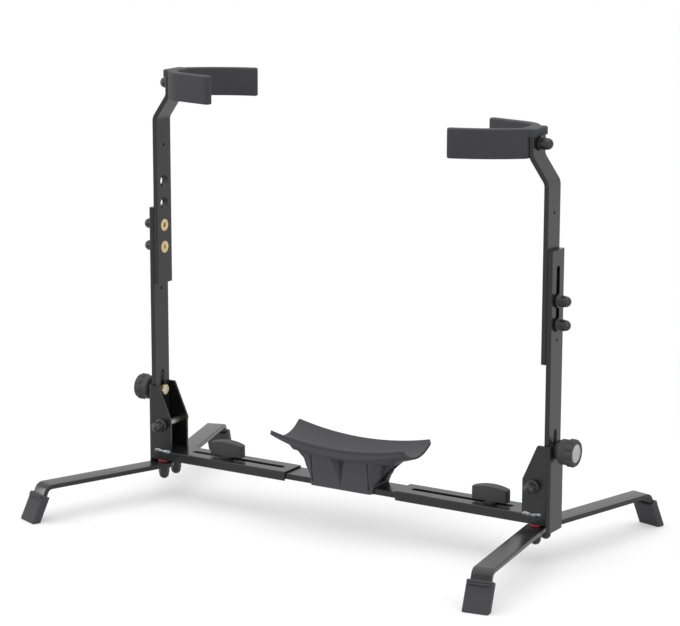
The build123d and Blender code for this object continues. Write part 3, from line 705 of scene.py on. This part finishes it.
class STAND_OT_welds(bpy.types.Operator):
    """Weld beads along the feet of the brackets' flanges"""

    bl_idname = "stand.welds"
    bl_label = "Weld Beads"

    STEPS = 90
    AROUND = 12
    CORNER_GAP = 10.0 * MM
    EDGE_GAP = 0.5 * MM
    TALL = 2.1  # height of a bead, as a multiple of how far it stands out

    def thickness(self, share):
        """Lumps, fine ripples and thin ends along a bead, as a share of its size."""
        lumps = 0.3 * abs(math.sin(share * 5.6 + 0.5))
        ripples = 0.06 * math.sin(share * 61.0 + 1.3)
        ends = min(1.0, 0.35 + 7.0 * share, 0.35 + 7.0 * (1 - share))
        return (0.66 + lumps + ripples) * ends

    def bead(self, work, start, end, out, height):
        """Flattened bead from start to end that bulges out of a face."""
        along = end - start
        rings = []
        for i in range(self.STEPS + 1):
            share = i / self.STEPS
            ripple = self.thickness(share)
            sway = 0.2 * math.sin(share * 7.0 + start.x * 90.0)
            ring = []
            for j in range(self.AROUND):
                angle = 2 * math.pi * j / self.AROUND
                lift = Vector((0, 0, height * (ripple * math.sin(angle) + sway)))
                point = start + along * share + out * (ripple * math.cos(angle)) + lift
                ring.append(work.verts.new(point))
            rings.append(ring)
        for low, high in zip(rings, rings[1:]):
            for j in range(self.AROUND):
                k = (j + 1) % self.AROUND
                work.faces.new((low[j], low[k], high[k], high[j]))
        work.faces.new(rings[0])
        work.faces.new(rings[-1])

    def execute(self, context):
        size = context.scene.stand_sizes.weld_size
        for side in ENDS:
            outward = -1 if side == "left" else 1
            low, high = node_box(side + "_bracket")
            outer = low.x if side == "left" else high.x
            depth = high.x - low.x
            seam = node_box(side + "_channel")[1].z
            work = bmesh.new()
            for y, away in ((low.y, -1), (high.y, 1)):
                start = Vector((outer - outward * self.CORNER_GAP, y, seam))
                end = Vector((outer - outward * (depth - self.EDGE_GAP), y, seam))
                self.bead(work, start, end, Vector((0, away * size, 0)), self.TALL * size)
            piece = new_piece(side + "_weld_beads", work, weld_metal())
            seat(piece, side + "_bracket", replaces=False)
        return {"FINISHED"}


class STAND_OT_nuts(bpy.types.Operator):
    """Cap nuts on the cross bolts, legs and arms"""

    bl_idname = "stand.nuts"
    bl_label = "Cap Nuts"

    def execute(self, context):
        for side in ENDS:
            outward = -1 if side == "left" else 1
            middle_y = node_middle(side + "_cross_nuts").y
            for kind in ("cross_nuts", "leg_nuts", "arm_nuts"):
                node = side + "_" + kind
                work = bmesh.new()
                for low, high in solid_boxes(node):
                    seat_at = (low + high) / 2
                    if kind == "leg_nuts":
                        way = Vector((0, 0, -1))
                    elif kind == "arm_nuts":
                        way = Vector((outward, 0, 0))
                    else:
                        way = Vector((0, -1 if seat_at.y < middle_y else 1, 0))
                    for axis in range(3):
                        if way[axis]:
                            seat_at[axis] = low[axis] if way[axis] > 0 else high[axis]
                    cap_nut(work, facing(seat_at, way))
                seat(new_piece(side + "_" + kind.replace("nuts", "cap_nuts"), work, black_oxide()), node)
        return {"FINISHED"}


class STAND_OT_small_parts(bpy.types.Operator):
    """Bolts, studs, spacers, washers and screws"""

    bl_idname = "stand.small_parts"
    bl_label = "Bolts, Studs and Washers"

    PARTS = (
        "spacer_tube",
        "cross_bolt",
        "pivot_studs",
        "leg_washers",
        "height_knob_stud",
        "height_nut",
        "arm_screws",
        "holder_bolt",
        "wing_knob_stud",
    )
    SCREW_EDGE = 0.2 * MM
    PART_EDGE = 0.25 * MM

    def execute(self, context):
        refined("saddle_screws", self.SCREW_EDGE)
        for side in ENDS:
            for name in self.PARTS:
                refined(side + "_" + name, self.PART_EDGE)
        return {"FINISHED"}


class STAND_OT_knobs(bpy.types.Operator):
    """Round height knobs and long wing knobs"""

    bl_idname = "stand.knobs"
    bl_label = "Knobs"

    EDGE = 0.5 * MM
    RECESS = 0.8 * MM
    DISC_THICKNESS = 0.55 * MM
    DISC_EDGE = 0.2 * MM
    DISC_SIDES = 64

    def execute(self, context):
        for side in ENDS:
            refined(side + "_height_knob", self.EDGE, segments=3)
            refined(side + "_wing_knob", self.EDGE)
            self.disc(side, context.scene.stand_sizes.disc_radius)
        return {"FINISHED"}

    def disc(self, side, radius):
        """Bare satin disc in the recess of a height knob's end."""
        node = side + "_height_knob"
        low, high = node_box(node)
        outward = Vector((-1 if side == "left" else 1, 0, 0))
        end = (low + high) / 2
        end.x = low.x if side == "left" else high.x
        thick, edge = self.DISC_THICKNESS, self.DISC_EDGE
        work = bmesh.new()
        profile = [(0.0, 0.0), (radius, 0.0), (radius, thick - edge), (radius - edge, thick), (0.0, thick)]
        lathe(work, profile, self.DISC_SIDES, facing(end - outward * self.RECESS, outward))
        seat(new_piece(side + "_knob_disc", work, satin_disc()), node, replaces=False)


class STAND_OT_saddle(bpy.types.Operator):
    """Saddle with a creased, hollow-ended pedestal and a rubber lining"""

    bl_idname = "stand.saddle"
    bl_label = "Saddle"

    EDGE = 0.6 * MM
    # Corners of the shapes cut from a quarter of the pedestal: in mm along and across
    # from its middle, and up from the floor
    FLARE = (
        (43.5, 24.3, 59.0),
        (52.0, 15.2, 59.0),
        (43.5, 28.6, 93.3),
        (57.0, 21.5, 93.3),
        (80.0, 12.5, 93.6),
        (43.5, 60.0, 59.0),
        (90.0, 60.0, 59.0),
        (90.0, 12.0, 59.0),
        (43.5, 60.0, 104.0),
        (90.0, 60.0, 104.0),
    )
    CREASE = (
        (41.6, 21.6, 58.0),
        (33.0, 36.0, 58.0),
        (50.2, 36.0, 58.0),
        (41.6, 25.8, 93.0),
        (33.0, 40.0, 93.0),
        (50.2, 40.0, 93.0),
    )
    END = (
        (49.5, 12.0, 60.0),
        (49.5, 60.0, 60.0),
        (90.0, 12.0, 60.0),
        (90.0, 60.0, 60.0),
        (58.5, 12.0, 90.2),
        (61.0, 24.0, 93.3),
        (90.0, 12.0, 93.0),
        (90.0, 24.0, 95.5),
        (62.0, 60.0, 104.0),
        (90.0, 60.0, 104.0),
    )
    HOLLOW = (
        (39.0, -1.0, 64.0),
        (39.0, 9.5, 64.0),
        (62.0, -1.0, 64.0),
        (62.0, 9.5, 64.0),
        (49.0, -1.0, 87.6),
        (49.0, 9.5, 88.0),
        (80.0, -1.0, 91.0),
        (80.0, 9.5, 91.8),
    )
    GROOVE = ((0.0, 24.2, 60.0), (0.0, 20.0, 91.5), (25.0, 36.0, 91.5), (-25.0, 36.0, 91.5))

    def execute(self, context):
        middle = node_middle("saddle_base")
        work = bmesh.new()
        cuts = [(self.GROOVE, 1, away) for away in (-1, 1)]
        for shape in (self.FLARE, self.CREASE, self.END, self.HOLLOW):
            cuts += [(shape, along, away) for along in (-1, 1) for away in (-1, 1)]
        for shape, along, away in cuts:
            points = ((along * x * MM, away * y * MM, z * MM) for x, y, z in shape)
            hull(work, [(middle.x + x, middle.y + y, z) for x, y, z in points])
        refined("saddle_base", self.EDGE, mesh=carved("saddle_base", work))
        refined("saddle_pad", self.EDGE)
        return {"FINISHED"}


class STAND_OT_holders(bpy.types.Operator):
    """Padded C-shaped holders"""

    bl_idname = "stand.holders"
    bl_label = "Holders"

    def execute(self, context):
        for side in ENDS:
            refined(side + "_holder", 0.0)
        return {"FINISHED"}


class STAND_OT_feet(bpy.types.Operator):
    """Rubber caps on the legs"""

    bl_idname = "stand.feet"
    bl_label = "Rubber Feet"

    EDGE = 0.6 * MM

    def execute(self, context):
        for leg in LEGS:
            refined(leg + "_foot", self.EDGE)
        return {"FINISHED"}


class STAND_OT_stage(bpy.types.Operator):
    """Pale floor, soft light and camera"""

    bl_idname = "stand.stage"
    bl_label = "Floor, Light and Camera"

    FLOOR_RADIUS = 14.0
    FADE_FROM, FADE_TO, FADE_LEAST = 0.35, 1.1, 0.3  # distances in metres, and the share near by
    BRIGHT_SIDE = (-0.42, 0.68, 0.6)  # where the room is brightest
    DARK_FROM, BRIGHT_FROM = -0.35, 0.55  # shares of that direction
    DARKEST, BRIGHTEST = 0.2, 0.88
    # Name, place, width and height in metres, watts
    LAMPS = (
        ("overhead_softbox", (0.1, -0.1, 2.4), (4.0, 4.0), 56.0),
        ("front_softbox", (-1.6, -2.2, 1.6), (2.2, 2.2), 12.0),
        ("right_strip", (2.1, -0.8, 0.65), (0.35, 1.1), 10.0),
        ("left_strip", (-2.1, -0.7, 0.65), (0.35, 1.1), 10.0),
    )
    AIM_HEIGHT = 0.2
    CAMERA_PLACE = (1.5882, -2.6041, 0.9332)  # from the saddle's middle on the floor
    HEADING, DIP, ROLL = math.radians(31.62), math.radians(12.15), math.radians(0.11)
    FOCAL_PIXELS, PICTURE_PIXELS = 2492.9, 680
    SENSOR = 36.0
    VIEW_END = 50.0

    def execute(self, context):
        self.floor()
        self.lights(context)
        self.camera(context)
        context.scene.view_settings.view_transform = "Standard"
        return {"FINISHED"}

    def floor(self):
        """Pale ground that keeps the shadow and turns into the white background."""
        work = bmesh.new()
        bmesh.ops.create_circle(work, cap_ends=True, segments=96, radius=self.FLOOR_RADIUS)
        finish = Finish("floor_white")
        where = finish.place()
        distance = finish.add("ShaderNodeVectorMath", {"operation": "LENGTH"}, {0: where}, output="Value")
        paper = finish.blend(finish.noise(where, 8.0, 3.0), shade(WHITE, 0.91), shade(WHITE, 0.93))
        ground = finish.add("ShaderNodeBsdfDiffuse", None, {"Color": paper})
        dim = finish.add("ShaderNodeBsdfDiffuse", None, {"Color": shade(WHITE, 0.12)})
        glow = finish.add("ShaderNodeEmission", None, {"Color": WHITE, "Strength": 1.0})
        beyond = finish.add("ShaderNodeMixShader", None, {0: finish.backdrop_rays(), 1: dim, 2: glow})
        reach = finish.span(distance, self.FADE_FROM, self.FADE_TO, self.FADE_LEAST, 1.0)
        whole = finish.add("ShaderNodeMixShader", None, {0: reach, 1: ground, 2: beyond})
        new_piece("floor", work, finish.show(whole))

    def lights(self, context):
        """White background to look at, a room bright above and behind, and soft lamps."""
        context.scene.world = bpy.data.worlds.new("soft_room")
        room = Finish("soft_room", context.scene.world)
        direction = room.add("ShaderNodeTexCoord", output="Generated")
        toward = {0: direction, 1: self.BRIGHT_SIDE}
        along = room.add("ShaderNodeVectorMath", {"operation": "DOT_PRODUCT"}, toward, output="Value")
        level = room.span(along, self.DARK_FROM, self.BRIGHT_FROM, self.DARKEST, self.BRIGHTEST)
        walls = room.add("ShaderNodeBackground", None, {"Strength": level})
        white = room.add("ShaderNodeBackground", None, {"Color": WHITE, "Strength": 1.0})
        room.show(room.add("ShaderNodeMixShader", None, {0: room.backdrop_rays(), 1: walls, 2: white}))
        for name, place, size, power in self.LAMPS:
            lamp = bpy.data.lights.new(name, "AREA")
            lamp.shape = "RECTANGLE"
            lamp.size, lamp.size_y = size
            lamp.energy = power
            holder = bpy.data.objects.new(name, lamp)
            holder.matrix_world = facing(place, Vector(place) - Vector((0, 0, self.AIM_HEIGHT)))
            context.scene.collection.objects.link(holder)

    def camera(self, context):
        """The photograph's view: measured position, heading and long lens."""
        saddle = node_middle("saddle_base")
        place = Vector(self.CAMERA_PLACE) + Vector((saddle.x, saddle.y, 0))
        camera = bpy.data.cameras.new("photo_camera")
        camera.sensor_width = self.SENSOR
        camera.lens = self.FOCAL_PIXELS / self.PICTURE_PIXELS * self.SENSOR
        camera.clip_end = self.VIEW_END
        holder = bpy.data.objects.new("photo_camera", camera)
        turn = Matrix.Rotation(self.HEADING, 4, "Z") @ Matrix.Rotation(math.pi / 2 - self.DIP, 4, "X")
        turn = turn @ Matrix.Rotation(self.ROLL, 4, "Z")
        holder.matrix_world = Matrix.Translation(place) @ turn
        context.scene.collection.objects.link(holder)
        context.scene.camera = holder


class STAND_PT_panel(bpy.types.Panel):
    bl_idname = "STAND_PT_panel"
    bl_label = "Tuba Stand"
    bl_space_type = "VIEW_3D"
    bl_region_type = "UI"
    bl_category = "Stand"

    def draw(self, context):
        for group in (context.scene.stand_finish, context.scene.stand_sizes):
            for name in group.bl_rna.properties.keys():
                if name not in ("rna_type", "name"):
                    self.layout.prop(group, name)
        for operator in OPERATORS:
            self.layout.operator(operator.bl_idname)


OPERATORS = (
    STAND_OT_steel,
    STAND_OT_welds,
    STAND_OT_nuts,
    STAND_OT_small_parts,
    STAND_OT_knobs,
    STAND_OT_saddle,
    STAND_OT_holders,
    STAND_OT_feet,
    STAND_OT_stage,
)
CLASSES = (STAND_PG_finish, STAND_PG_sizes) + OPERATORS + (STAND_PT_panel,)


def register():
    for cls in CLASSES:
        bpy.utils.register_class(cls)
    bpy.types.Scene.stand_finish = bpy.props.PointerProperty(type=STAND_PG_finish)
    bpy.types.Scene.stand_sizes = bpy.props.PointerProperty(type=STAND_PG_sizes)


def unregister():
    del bpy.types.Scene.stand_sizes
    del bpy.types.Scene.stand_finish
    for cls in reversed(CLASSES):
        bpy.utils.unregister_class(cls)


def main():
    register()
    for operator in OPERATORS:
        getattr(bpy.ops.stand, operator.bl_idname.split(".")[1])()


if __name__ == "__main__":
    main()
